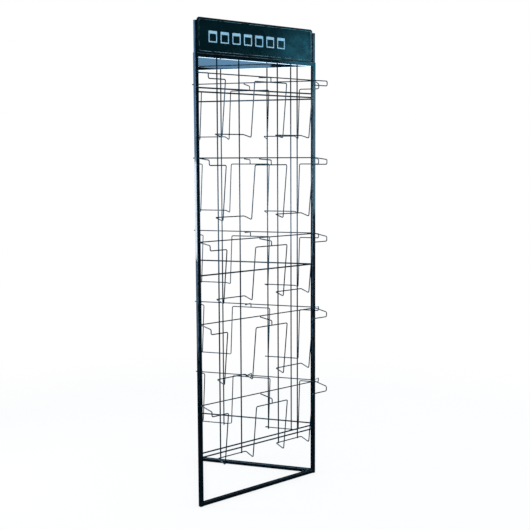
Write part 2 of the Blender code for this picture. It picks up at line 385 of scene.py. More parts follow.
class NodeSheet:
    """A material's node tree, filled from its inputs towards its surface."""

    def __init__(self, name: str) -> None:
        """Starts a material with a bare principled surface.

        Args:
            name: The material's name.
        """
        self.material = bpy.data.materials.new(name)
        self.material.use_nodes = True
        self.tree = self.material.node_tree
        self.surface = self.tree.nodes["Principled BSDF"]
        self.place = self.add("ShaderNodeTexCoord").outputs["Object"]

    def add(self, kind: str, **settings: object) -> bpy.types.Node:
        """Adds a node.

        Args:
            kind: The node's type.
            **settings: Its properties, and the values of its input sockets, by name with _ for a space.

        Returns:
            The node.
        """
        node = self.tree.nodes.new(kind)
        for name, value in settings.items():
            socket = node.inputs.get(name.replace("_", " "))
            if socket is not None:
                socket.default_value = value
            else:
                setattr(node, name, value)
        return node

    def join(self, output: Socket, target: Socket) -> None:
        """Links an output to an input."""
        self.tree.links.new(output, target)

    def noise(self, grain: Grain) -> Socket:
        """Adds a noise pattern.

        Args:
            grain: The pattern.

        Returns:
            The pattern's value, from 0 to 1.
        """
        mapping = self.add("ShaderNodeMapping")
        mapping.inputs["Scale"].default_value = [1.0 / (grain.size * part) for part in grain.stretch]
        self.join(self.place, mapping.inputs["Vector"])
        pattern = self.add("ShaderNodeTexNoise", Scale=1.0, Detail=grain.detail, Roughness=grain.fineness)
        self.join(mapping.outputs["Vector"], pattern.inputs["Vector"])
        return pattern.outputs["Fac"]

    def ramp(
        self, value: Socket, low: float, high: float, least: float = 0.0, most: float = 1.0
    ) -> Socket:
        """Maps a range of a pattern to a range of values.

        Args:
            value: The pattern.
            low: The pattern's value that gives the least.
            high: The pattern's value that gives the most.
            least: The result at low.
            most: The result at high.

        Returns:
            The mapped value, held within its range.
        """
        node = self.add("ShaderNodeMapRange", interpolation_type="SMOOTHSTEP")
        node.inputs["From Min"].default_value = low
        node.inputs["From Max"].default_value = high
        node.inputs["To Min"].default_value = least
        node.inputs["To Max"].default_value = most
        self.join(value, node.inputs["Value"])
        return node.outputs["Result"]

    def share(self, grain: Grain, least: float = 0.0, most: float = 1.0) -> Socket:
        """Adds a noise pattern and maps the part of it that shows, from the least value to the most."""
        return self.ramp(self.noise(grain), grain.low, grain.high, least, most)

    def height(self) -> Socket:
        """Reads the height above the floor."""
        parts = self.add("ShaderNodeSeparateXYZ")
        self.join(self.place, parts.inputs["Vector"])
        return parts.outputs["Z"]

    def times(self, first: Socket, second: Socket) -> Socket:
        """Multiplies two values."""
        node = self.add("ShaderNodeMath", operation="MULTIPLY")
        self.join(first, node.inputs[0])
        self.join(second, node.inputs[1])
        return node.outputs["Value"]

    def blend(self, share: Socket, first: object, second: object) -> Socket:
        """Mixes two colours.

        Args:
            share: How much of the second colour shows.
            first: A colour, or the socket of one.
            second: A colour, or the socket of one.

        Returns:
            The mixed colour.
        """
        node = self.add("ShaderNodeMix", data_type="RGBA")
        self.join(share, node.inputs[0])
        for socket, value in ((node.inputs[MIX_FIRST], first), (node.inputs[MIX_SECOND], second)):
            if isinstance(value, tuple):
                socket.default_value = (*value, 1.0)
            else:
                self.join(value, socket)
        return node.outputs[MIX_RESULT]

    def rubbed(self, grain: Grain) -> Socket:
        """Finds how much of the rubbed colour, which is also a painted highlight, shows on the marked edges.
        """
        marked = self.add("ShaderNodeAttribute", attribute_name=RUBBED_HIGHLIT).outputs["Fac"]
        return self.times(marked, self.share(grain))

    def bump(self, height: Socket, depth: float, strength: float) -> None:
        """Gives the surface a fine relief.

        Args:
            height: The relief's pattern.
            depth: Its depth in metres.
            strength: How much of it shows.
        """
        node = self.add("ShaderNodeBump", Strength=strength, Distance=depth)
        self.join(height, node.inputs["Height"])
        self.join(node.outputs["Normal"], self.surface.inputs["Normal"])

    def paint(self, colour: Socket, roughness: Socket, index: float) -> None:
        """Finishes the surface.

        Args:
            colour: Its colour.
            roughness: Its roughness.
            index: The refractive index of the finish.
        """
        self.join(colour, self.surface.inputs["Base Color"])
        self.join(roughness, self.surface.inputs["Roughness"])
        self.surface.inputs["IOR"].default_value = index

    def show(self, shader: Socket) -> bpy.types.Material:
        """Puts another shader in the place of the principled surface and gives the material."""
        self.tree.nodes.remove(self.surface)
        self.join(shader, self.tree.nodes["Material Output"].inputs["Surface"])
        return self.material


@dataclass(frozen=True)
class Enamel:
    """A stoved gloss enamel with orange peel, rubbed patches, rubbed edges paler as a painted highlight, and
    dust near the floor.

    Attributes:
        name: The material's name.
        deep: The colour where the coat is thick.
        thin: The colour where it is thin.
        scuff: The colour of rubbed patches.
        edge: The colour of rubbed edges, paler than the coat as a painted highlight along them.
        dust: The colour of settled dust.
        smooth: The least roughness.
        worn: The most roughness.
        index: The refractive index.
        scuffing: How much of the scuffs' colour shows.
        dusting: How much of the dust's colour shows at the floor.
        dust_height: How high the dust reaches, in metres.
        reach: The heights between which the rubbed edges and their painted highlight fade in, in metres;
            below them the edges get none, as the painted highlight fades towards the floor.
        peel_depth: The depth of the orange peel, in metres.
        peel_strength: How much of it shows.
        drift: The pattern of the coat's thickness.
        scuffs: The pattern of the scuffs.
        patches: The pattern of the places that get scuffed.
        rubbing_and_highlight: The pattern of the rubbed edges and their painted highlight.
        settling: The pattern of the dust.
        sheen: The pattern of the roughness.
        peel: The pattern of the orange peel.
    """

    name: str
    deep: Colour
    thin: Colour
    scuff: Colour = (0.012, 0.018, 0.024)
    edge: Colour = (0.050, 0.085, 0.110)
    dust: Colour = (0.020, 0.023, 0.025)
    smooth: float = 0.06
    worn: float = 0.14
    index: float = 1.45
    scuffing: float = 0.55
    dusting: float = 0.30
    dust_height: float = 0.08
    reach: tuple[float, float] = (0.35, 0.75)
    peel_depth: float = 0.00004
    peel_strength: float = 0.12
    drift: Grain = Grain(0.05, 3.0, 0.35, 0.65)
    scuffs: Grain = Grain(0.004, 4.0, 0.66, 0.74, (1.0, 1.0, 5.0))
    patches: Grain = Grain(0.11, 2.0, 0.50, 0.68)
    rubbing_and_highlight: Grain = Grain(0.03, 3.0, 0.36, 0.60)
    settling: Grain = Grain(0.012, 4.0, 0.40, 0.75)
    sheen: Grain = Grain(0.02, 3.0, 0.35, 0.75)
    peel: Grain = Grain(0.0035, 1.0)

    def make(self) -> bpy.types.Material:
        """Builds the node material.

        Returns:
            The material.
        """
        sheet = NodeSheet(self.name)
        height = sheet.height()
        coat = sheet.blend(sheet.share(self.drift), self.deep, self.thin)
        scuffed = sheet.times(sheet.share(self.scuffs, most=self.scuffing), sheet.share(self.patches))
        coat = sheet.blend(scuffed, coat, self.scuff)
        # Rubbed edges, paler as a painted highlight, which fade out towards the floor below the reach
        # heights.
        rubbed = sheet.times(sheet.rubbed(self.rubbing_and_highlight), sheet.ramp(height, *self.reach))
        coat = sheet.blend(rubbed, coat, self.edge)
        low = sheet.ramp(height, 0.0, self.dust_height, self.dusting, 0.0)
        coat = sheet.blend(sheet.times(low, sheet.share(self.settling)), coat, self.dust)
        sheet.bump(sheet.noise(self.peel), self.peel_depth, self.peel_strength)
        sheet.paint(coat, sheet.share(self.sheen, self.smooth, self.worn), self.index)
        return sheet.material


@dataclass(frozen=True)
class Moulding:
    """A gloss moulded plastic with a slight haze, fine handling marks, and rubbed edges pale as a painted
    highlight.

    Attributes:
        name: The material's name.
        deep: The main colour.
        pale: The colour of the haze.
        edge: The colour of rubbed edges, pale as a painted highlight along the lip.
        smooth: The least roughness.
        worn: The most roughness.
        index: The refractive index.
        marking: How much rougher the handling marks are.
        relief: The depth of the surface's ripple, in metres.
        relief_strength: How much of it shows.
        haze: The pattern of the haze.
        marks: The pattern of the handling marks.
        rubbing_and_highlight: The pattern of the rubbed edges and their painted highlight.
        sheen: The pattern of the roughness.
        ripple: The pattern of the ripple.
    """

    name: str
    deep: Colour
    pale: Colour
    edge: Colour = (0.15, 0.31, 0.37)
    smooth: float = 0.12
    worn: float = 0.20
    index: float = 1.46
    marking: float = 0.12
    relief: float = 0.00006
    relief_strength: float = 0.12
    haze: Grain = Grain(0.09, 3.0, 0.35, 0.75)
    marks: Grain = Grain(0.003, 3.0, 0.66, 0.80, (8.0, 8.0, 1.0))
    rubbing_and_highlight: Grain = Grain(0.025, 3.0, 0.36, 0.58)
    sheen: Grain = Grain(0.03, 3.0, 0.35, 0.70)
    ripple: Grain = Grain(0.0035, 2.0)

    def make(self) -> bpy.types.Material:
        """Builds the node material.

        Returns:
            The material.
        """
        sheet = NodeSheet(self.name)
        colour = sheet.blend(sheet.share(self.haze), self.deep, self.pale)
        # Rubbed edges, pale as a painted highlight along the sign's lip.
        colour = sheet.blend(sheet.rubbed(self.rubbing_and_highlight), colour, self.edge)
        rough = sheet.add("ShaderNodeMath", operation="ADD")
        sheet.join(sheet.share(self.sheen, self.smooth, self.worn), rough.inputs[0])
        sheet.join(sheet.share(self.marks, most=self.marking), rough.inputs[1])
        sheet.bump(sheet.noise(self.ripple), self.relief, self.relief_strength)
        sheet.paint(colour, rough.outputs["Value"], self.index)
        return sheet.material


@dataclass(frozen=True)
class Finishes:
    """The finishes of the rack, made once.

    Attributes:
        frame: The enamel of the tubes.
        wire: The enamel of the wires, the frame's dark enamel made bluer as a painted reflection of the
            bluish lamps.
        sign: The plastic of the sign panels.
        sign_back: The smoother back of those panels.
        leaf: The film of the calendar leaves.
        glide: The plastic of the foot glides.
    """

    frame: bpy.types.Material
    wire: bpy.types.Material
    sign: bpy.types.Material
    sign_back: bpy.types.Material
    leaf: bpy.types.Material
    glide: bpy.types.Material

    @classmethod
    def make(cls) -> Finishes:
        """Builds every finish.

        Returns:
            The finishes' materials.
        """
        frame = Enamel("frame_enamel", (0.0008, 0.0030, 0.0058), (0.0014, 0.0048, 0.0085))
        # The wires carry the frame's enamel; their lighter, bluer colours are a painted reflection of the
        # bluish lamps.
        wire = Enamel("wire_enamel", (0.0006, 0.0140, 0.0240), (0.0010, 0.0195, 0.0320), worn=0.20)
        sign = Moulding("sign_green_plastic", (0.0005, 0.0080, 0.0108), (0.0008, 0.0108, 0.0140))
        sign_back = Moulding(
            "sign_back_plastic", (0.0030, 0.0140, 0.0200), (0.0050, 0.0190, 0.0270), smooth=0.04, worn=0.08
        )
        leaf = Moulding("pale_blue_film", (0.31, 0.54, 0.70), (0.36, 0.59, 0.74), smooth=0.3, worn=0.45)
        glide = Moulding(
            "black_glide_plastic",
            (0.010, 0.010, 0.011),
            (0.022, 0.022, 0.023),
            smooth=0.45,
            worn=0.62,
            ripple=Grain(0.0012, 2.0),
        )
        return cls(*(finish.make() for finish in (frame, wire, sign, sign_back, leaf, glide)))


@dataclass(frozen=True)
class Bend:
    """One bend of a wire.

    Attributes:
        first: Where the bend starts.
        last: Where it ends.
        centre: The centre of its arc.
        axis: The axis that the wire turns about.
        angle: The turn in radians.
    """

    first: Vector
    last: Vector
    centre: Vector
    axis: Vector
    angle: float


@dataclass(frozen=True)
class RoundStock:
    """Round wire or rod, drawn straight and bent round its corners.

    Attributes:
        diameter: The wire's diameter.
        bend_radius: The radius of a bend at the wire's axis.
        sides: The facets round the wire.
        bend_steps: The facets along a bend.
        end_bevel: How far the cut ends are rounded.
        end_steps: The facets of a rounded end.
    """

    diameter: float
    bend_radius: float = 0.006
    sides: int = 12
    bend_steps: int = 5
    end_bevel: float = 0.0005
    end_steps: int = 2

    def bends(self, corners: Sequence[Vector], closed: bool) -> list[Bend]:
        """Works out the arcs at the corners.

        Args:
            corners: The points that the straight runs meet in.
            closed: Whether the last run comes back to the first corner.

        Returns:
            One bend for each corner that has two runs.
        """
        found = []
        count = len(corners)
        for index, corner in enumerate(corners):
            if not closed and index in (0, count - 1):
                continue
            back = corners[index - 1] - corner
            ahead = corners[(index + 1) % count] - corner
            angle = math.pi - back.angle(ahead)
            reach = min(self.bend_radius * math.tan(angle / 2), back.length / 2, ahead.length / 2)
            radius = reach / math.tan(angle / 2)
            first = corner + back.normalized() * reach
            last = corner + ahead.normalized() * reach
            inward = (back.normalized() + ahead.normalized()).normalized()
            centre = corner + inward * (radius / math.cos(angle / 2))
            axis = (first - centre).cross(last - centre).normalized()
            found.append(Bend(first, last, centre, axis, angle))
        return found

    def sweep(self, name: str, corners: Sequence[Vector], closed: bool = False) -> Shape:
        """Draws a wire along a path.

        Args:
            name: The piece's name.
            corners: The points that the straight runs meet in.
            closed: Whether the wire's two ends are welded together.

        Returns:
            The wire, with its place in its mesh.
        """
        turns = self.bends(corners, closed)
        start = turns[0].first if closed else corners[0]
        before = corners[-1] if closed else corners[0]
        after = corners[0] if closed else corners[1]
        heading = (after - before).to_track_quat("Z", "Y").to_euler()
        clear_selection()
        bpy.ops.mesh.primitive_circle_add(
            vertices=self.sides,
            radius=self.diameter / 2,
            location=start,
            rotation=heading,
            enter_editmode=True,
        )
        piece = bpy.context.object
        bpy.ops.mesh.select_mode(type="VERT")
        bpy.ops.mesh.select_all(action="SELECT")
        here = start
        for turn in turns:
            if (turn.first - here).length > TOUCHING:
                bpy.ops.mesh.extrude_region_move(TRANSFORM_OT_translate={"value": turn.first - here})
            bpy.ops.mesh.spin(steps=self.bend_steps, angle=turn.angle, center=turn.centre, axis=-turn.axis)
            here = turn.last
        if closed:
            bpy.ops.mesh.select_non_manifold(extend=False)
            bpy.ops.mesh.bridge_edge_loops()
        else:
            bpy.ops.mesh.extrude_region_move(TRANSFORM_OT_translate={"value": corners[-1] - here})
            bpy.ops.mesh.select_all(action="SELECT")
            bpy.ops.mesh.fill_holes(sides=self.sides)
            select_parts(piece, "FACE", lambda part: len(part.verts) == self.sides)
            bpy.ops.mesh.region_to_loop()
            bpy.ops.mesh.bevel(offset=self.end_bevel, segments=self.end_steps, affect="EDGES")
        return settle(piece, name, WIRE_CREASE)


@dataclass(frozen=True)
class SquareStock:
    """Square tube with rounded edges.

    Attributes:
        width: The tube's side.
        wall: Its wall.
        edge: The radius of its long edges.
        segments: The facets of a rounded edge.
    """

    width: float
    wall: float
    edge: float
    segments: int = 4

    def block(self, start: Vector, direction: Vector, length: float, width: float) -> Shape:
        """Adds a plain bar from the middle of its first end, with its length along its own X axis."""
        heading = direction.to_track_quat("X", "Z" if abs(direction.z) < FACING else "Y").to_euler()
        return add_block((length, width, width), start + direction * length / 2, heading)

    def draw(
        self, start: Vector, direction: Vector, length: float, low_mouth: float = 0.0, high_mouth: float = 0.0
    ) -> Shape:
        """Makes a length of tube, solid between its open mouths.

        Args:
            start: The middle of its first end.
            direction: The unit direction of its length.
            length: Its length.
            low_mouth: How deep the first end is open.
            high_mouth: How deep the last end is open.

        Returns:
            The tube, still at its own place and heading.
        """
        bar = self.block(start, direction, length, self.width)
        bpy.ops.object.mode_set(mode="EDIT")
        select_parts(bar, "EDGE", lambda part: abs(part.verts[0].co.x - part.verts[1].co.x) > length / 2)
        bpy.ops.mesh.bevel(offset=self.edge, segments=self.segments, affect="EDGES")
        # The rounded edges are marked for rubbing and a painted highlight line.
        mark_rubbed_highlit(bar)
        for side, depth in ((-1, low_mouth), (1, high_mouth)):
            if depth:
                inward = direction * (-side * depth)
                select_parts(bar, "FACE", lambda part, side=side: part.normal.x * side > FACING)
                bpy.ops.mesh.inset(thickness=self.wall, use_even_offset=True)
                bpy.ops.mesh.extrude_region_move(TRANSFORM_OT_translate={"value": inward})
        bpy.ops.object.mode_set(mode="OBJECT")
        return bar


@dataclass
class TubeFrame:
    """The posts, base bars and top rails.

    Attributes:
        finishes: The rack's finishes.
        posts: The post axes on the floor, by name.
        faces: The plan's three sides.
        stock: The square tube.
        gap: The gap left at a weld.
        foot: The height of the posts' lower ends.
        top: The height of the posts' upper ends.
        socket: How deep the posts are open at the top.
        plug: How deep they are open at the foot.
        clearances: The blocks that the bars' ends are cut with, by post.
    """

    finishes: Finishes
    posts: dict[str, Vector]
    faces: Sequence[Face]
    stock: SquareStock = SquareStock(width=0.016, wall=0.0012, edge=0.0024)
    gap: float = 0.0003
    foot: float = 0.0012
    top: float = 1.800
    socket: float = 0.100
    plug: float = 0.016
    clearances: dict[str, Shape] = field(default_factory=dict)

    def build(self) -> None:
        """Makes the posts and both levels of bars."""
        for name, axis in self.posts.items():
            self.build_post(name, axis)
        self.build_level(Level.BASE, self.foot + self.stock.width / 2)
        self.build_level(Level.TOP, self.top - self.stock.width / 2)
        discard(*self.clearances.values())

    def build_post(self, name: str, axis: Vector) -> None:
        """Makes one post, open at both ends.

        Args:
            name: The post's name.
            axis: Its axis on the floor.
        """
        post = self.stock.draw(axis + UP * self.foot, UP, self.top - self.foot, self.plug, self.socket)
        settle_flat(post, f"{name}_post_tube")
        dress(post, self.finishes.frame, Body.FRAME, [f"post_{name}"])
        wide = self.stock.width + 2 * self.gap
        self.clearances[name] = self.stock.block(axis - UP * wide, UP, self.top + 2 * wide, wide)

    def build_level(self, level: Level, height: float) -> None:
        """Makes the three bars of one level, each coped to the posts and to the bars before it.

        Args:
            level: The level.
            height: The height of the bars' middle.
        """
        corners = {"front": ("left", "right"), "side": ("right", "back"), "open": ("back", "left")}
        wide = self.stock.width + 2 * self.gap
        before: list[Shape] = []
        for face in self.faces:
            start = face.place(0.0, 0.0, height)
            bar = self.stock.draw(start, face.along, face.width)
            for cutter in [self.clearances[post] for post in corners[face.name]] + before:
                cut_away(bar, cutter)
            settle_flat(bar, f"{face.name}_{level.value}_tube")
            dress(bar, self.finishes.frame, Body.FRAME, [f"{level.value}_{face.name}"])
            before.append(self.stock.block(start, face.along, face.width, wide))
        discard(*before)


@dataclass
class SpotWeld:
    """The weld at a crossing of two wires.

    Attributes:
        face: The panel's side of the plan.
        length: The nugget's length along the face.
        depth: Its depth through the crossing.
        height: Its height.
        segments: The facets round the nugget.
        rings: The facets from its foot to its crown.
        crown: Where the crown and the foot start, as a share of the height from the middle.
        press: How the crown and the foot are spread and flattened.
    """

    face: Face
    length: float = 0.0054
    depth: float = 0.0034
    height: float = 0.0046
    segments: int = 10
    rings: int = 6
    crown: float = 0.35
    press: tuple[float, float, float] = (1.25, 1.25, 0.8)

    def nugget(self) -> Shape:
        """Models the weld at the origin, its length along the face.

        Returns:
            A squashed ball with a flattened crown.
        """
        clear_selection()
        bpy.ops.mesh.primitive_uv_sphere_add(segments=self.segments, ring_count=self.rings, radius=0.5)
        nugget = bpy.context.object
        bpy.ops.object.mode_set(mode="EDIT")
        select_parts(nugget, "FACE", lambda part: abs(part.calc_center_median().z) > self.crown)
        bpy.ops.transform.resize(value=self.press)
        bpy.ops.object.mode_set(mode="OBJECT")
        nugget.scale = (self.length, self.depth, self.height)
        nugget.rotation_euler.z = self.face.turn
        return settle(nugget, "nugget", WELD_CREASE)


@dataclass
class WirePanel:
    """One wire panel: cross rods, upright wires, rows of pockets and their brackets.

    Attributes:
        finishes: The rack's finishes.
        face: The panel's side of the plan.
        rods: The heights of the cross rods, by name.
        centres: The middles of the pockets along the face.
        tube: The side of the posts' tube.
        gap: The gap left at a weld.
        rows: How many rows there are.
        top_row: The height of the highest row's back wire.
        pitch: The distance between rows.
        pocket_width: The width of a pocket.
        spread: The distance between the upright wires behind a pocket.
        overhangs: How far a row reaches past the first and the last post's axis.
        rod_stock: The cross rods' stock.
        upright_stock: The upright wires' stock.
        pocket_stock: The rows' and brackets' stock.
        rail_depth: How far a row's rail stands out.
        foot_depth: How far a pocket's foot stands out.
        arm_drop: The fall of a row's end arm.
        rail_drop: The rail's depth under the back wire.
        back_drop: The depth of a pocket's back wire.
        foot_drop: The depth of a pocket's foot.
        bracket_slope: The fall of a middle bracket.
        tail: How far an upright wire reaches under the lowest pocket.
        rail_underside: The height of the top rail's lower face.
        rod_bite: How far from a post's axis the rods end, square to the post's wall.
    """

    finishes: Finishes
    face: Face
    rods: dict[str, float]
    centres: tuple[float, float]
    overhangs: tuple[float, float] = (0.002, 0.002)
    rod_stock: RoundStock = RoundStock(0.006)
    upright_stock: RoundStock = RoundStock(0.0055)
    pocket_stock: RoundStock = RoundStock(0.0045)
    tube: float = 0.016
    gap: float = 0.0003
    rows: int = 5
    top_row: float = 1.7246
    pitch: float = 0.3266
    pocket_width: float = 0.141
    spread: float = 0.107
    rail_depth: float = 0.0755
    foot_depth: float = 0.050
    arm_drop: float = 0.008
    rail_drop: float = 0.028
    back_drop: float = 0.2335
    foot_drop: float = 0.2455
    bracket_slope: float = 0.004
    tail: float = 0.006
    rail_underside: float = 1.784
    rod_bite: float = 0.0070

    @property
    def row_out(self) -> float:
        """How far out the rows' back wires lie."""
        return square_reach(self.tube, self.face.outward) + self.gap + self.pocket_stock.diameter / 2

    @property
    def wire_out(self) -> float:
        """How far out the upright wires lie."""
        return self.row_out - self.pocket_stock.diameter / 2 - self.gap - self.upright_stock.diameter / 2

    @property
    def rod_out(self) -> float:
        """How far out the cross rods lie."""
        return self.wire_out - self.upright_stock.diameter / 2 - self.gap - self.rod_stock.diameter / 2

    @property
    def rail_out(self) -> float:
        """How far out the rows' rails lie."""
        return self.row_out + self.rail_depth

    @property
    def middle(self) -> float:
        """The middle between the two pockets of a row."""
        return sum(self.centres) / len(self.centres)

    @property
    def uprights(self) -> list[float]:
        """The places of the upright wires along the face."""
        return [centre + side * self.spread / 2 for centre in self.centres for side in (-1, 1)]

    @property
    def row_heights(self) -> list[float]:
        """The heights of the rows' back wires, from the top."""
        return [self.top_row - number * self.pitch for number in range(self.rows)]

    @property
    def row_shifts(self) -> list[Vector]:
        """How far each lower row lies from the top one."""
        return [UP * (-number * self.pitch) for number in range(1, self.rows)]

    def build(self) -> None:
        """Makes every wire of the panel and its welds."""
        self.build_rods()
        self.build_uprights()
        self.build_rows()
        self.build_brackets()
        self.build_welds()

    def build_rods(self) -> None:
        """Makes the cross rods, their ends sunk in the walls of the posts."""
        bite = self.rod_bite / max(abs(self.face.along.x), abs(self.face.along.y))
        for name, height in self.rods.items():
            ends = [self.face.place(along, self.rod_out, height) for along in (bite, self.face.width - bite)]
            rod = self.rod_stock.sweep(f"{self.face.name}_cross_rod_{name}", ends)
            self.paint(rod, f"rod_{name}")

    def build_uprights(self) -> None:
        """Makes one upright wire and copies it along the face."""
        bottom = self.row_heights[-1] - self.back_drop - self.tail
        top = self.rail_underside - self.gap
        ends = [self.face.place(self.uprights[0], self.wire_out, height) for height in (bottom, top)]
        first = self.upright_stock.sweep(f"{self.face.name}_upright_1", ends)
        shifts = [self.face.along * (along - self.uprights[0]) for along in self.uprights[1:]]
        self.repeat(first, "upright", "upright_wire", shifts)

    def pocket(self, centre: float) -> list[tuple[float, float, float]]:
        """Lists the corners of the dip that one pocket makes in its row.

        Args:
            centre: The pocket's middle along the face.

        Returns:
            How far each corner lies along the face, out from the row's back wire and below it, from the last
            post's side to the first's.
        """
        half = self.pocket_width / 2
        dip = ((self.rail_depth, self.rail_drop), (self.foot_depth, self.foot_drop), (0.0, self.back_drop))
        return [(centre + half, *step) for step in dip] + [(centre - half, *step) for step in reversed(dip)]

    def build_rows(self) -> None:
        """Bends the top row's endless wire and copies it down the panel."""
        arm = ((0.0, 0.0), (self.rail_depth, self.arm_drop), (self.rail_depth, self.rail_drop))
        path = [(self.face.width + self.overhangs[1], *step) for step in arm]
        for centre in reversed(self.centres):
            path += self.pocket(centre)
        path += [(-self.overhangs[0], *step) for step in reversed(arm)]
        corners = [
            self.face.place(along, self.row_out + out, self.top_row - drop) for along, out, drop in path
        ]
        top = self.pocket_stock.sweep(f"{self.face.name}_pocket_row_1", corners, closed=True)
        self.repeat(top, "pocket_row", "pocket_wire", self.row_shifts)

    def build_brackets(self) -> None:
        """Bends the top row's middle bracket and copies it down the panel."""
        row = self.top_row
        thick = self.pocket_stock.diameter
        under = row - thick - self.gap
        corners = [
            self.face.place(self.middle, self.row_out - thick / 2, under),
            self.face.place(self.middle, self.rail_out, under - self.bracket_slope),
            self.face.place(self.middle, self.rail_out, row - self.rail_drop + thick / 2 + self.gap),
        ]
        top = self.pocket_stock.sweep(f"{self.face.name}_rail_bracket_1", corners)
        self.repeat(top, "rail_bracket", "middle_bracket", self.row_shifts)

    def repeat(self, first: Shape, piece: str, node: str, shifts: Sequence[Vector]) -> None:
        """Copies a piece to its other places and dresses them all.

        Args:
            first: The first piece.
            piece: The part of the pieces' names between the face and the number.
            node: The same part of the CAD nodes' names.
            shifts: How far each copy lies from the first piece.
        """
        made = [first]
        for number, shift in enumerate(shifts, start=2):
            made.append(copy_of(first, f"{self.face.name}_{piece}_{number}", shift))
        for number, wire in enumerate(made, start=1):
            self.paint(wire, f"{node}_{number}")

    def paint(self, wire: Shape, *nodes: str) -> None:
        """Dresses a wire, which stands for the given nodes of the face."""
        stands_for = [f"{self.face.name}_{node}" for node in nodes]
        dress(wire, self.finishes.wire, Body.FRAME, stands_for)

    def build_welds(self) -> None:
        """Puts a weld at every crossing of the panel's wires and posts."""
        weld = SpotWeld(self.face)
        at_wire = (self.row_out + self.wire_out) / 2
        at_rod = (self.rod_out + self.wire_out) / 2
        half = self.pocket_stock.diameter / 2
        for number, row in enumerate(self.row_heights, start=1):
            places = [self.face.place(along, self.row_out - half, row) for along in (0.0, self.face.width)]
            for along in self.uprights:
                places.append(self.face.place(along, at_wire, row))
                places.append(self.face.place(along, at_wire, row - self.back_drop))
            places.append(self.face.place(self.middle, self.row_out, row - half))
            places.append(self.face.place(self.middle, self.rail_out, row - self.rail_drop + half))
            self.paint(scatter(weld.nugget(), f"{self.face.name}_row_welds_{number}", places))
        places = []
        for height in self.rods.values():
            places += [self.face.place(along, at_rod, height) for along in self.uprights]
        places += [self.face.place(along, self.wire_out, self.rail_underside) for along in self.uprights]
        self.paint(scatter(weld.nugget(), f"{self.face.name}_rod_welds", places))


